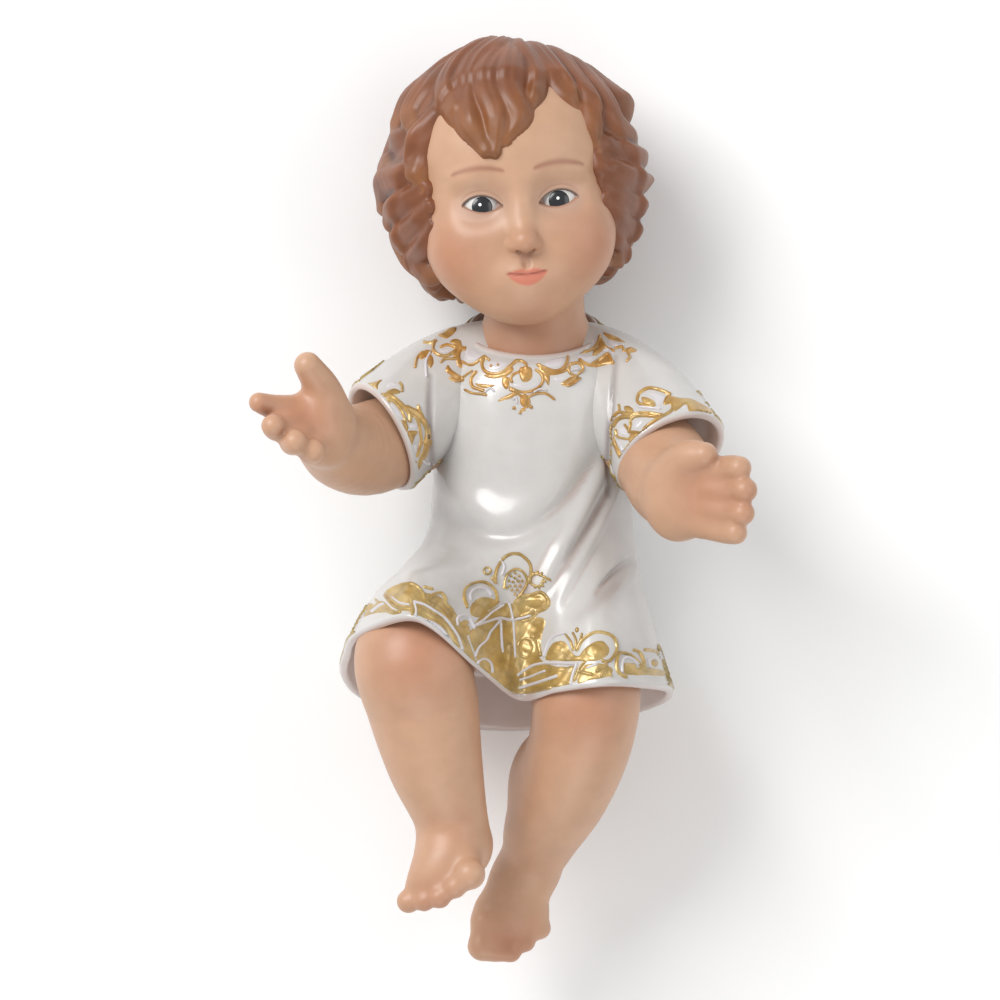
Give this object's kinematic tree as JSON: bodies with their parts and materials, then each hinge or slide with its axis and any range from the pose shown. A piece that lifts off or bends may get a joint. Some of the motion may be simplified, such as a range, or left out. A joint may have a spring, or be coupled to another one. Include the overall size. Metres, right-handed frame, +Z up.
{
  "type": "infant figurine",
  "caption": "Solid cast resin figurine of an infant in a short lace-trimmed gown, lying on its back with raised knees and open arms.",
  "frame": {"origin": "on the surface that the figure lies on, under the middle of its bounding box", "axes": "+Y from the feet to the head, +Z up out of the figure's chest, +X towards its left hand"},
  "size_m": [0.0924, 0.1768, 0.0683],
  "materials": {
    "painted_resin": "hand-painted cast resin under a gloss varnish",
    "gown": "pearl white paint with a pinkish grey wash in the folds, glossy",
    "skin": "flesh paint blushed at cheeks, knees, palms and toes, satin to glossy",
    "hair": "reddish brown paint with golden tips, glossy",
    "gold_lace": "antique gold paint on raised lace",
    "eyes": "painted eyes, high gloss"
  },
  "bodies": {
    "root": {"infant_figure": "painted_resin"}
  },
  "joints": []
}
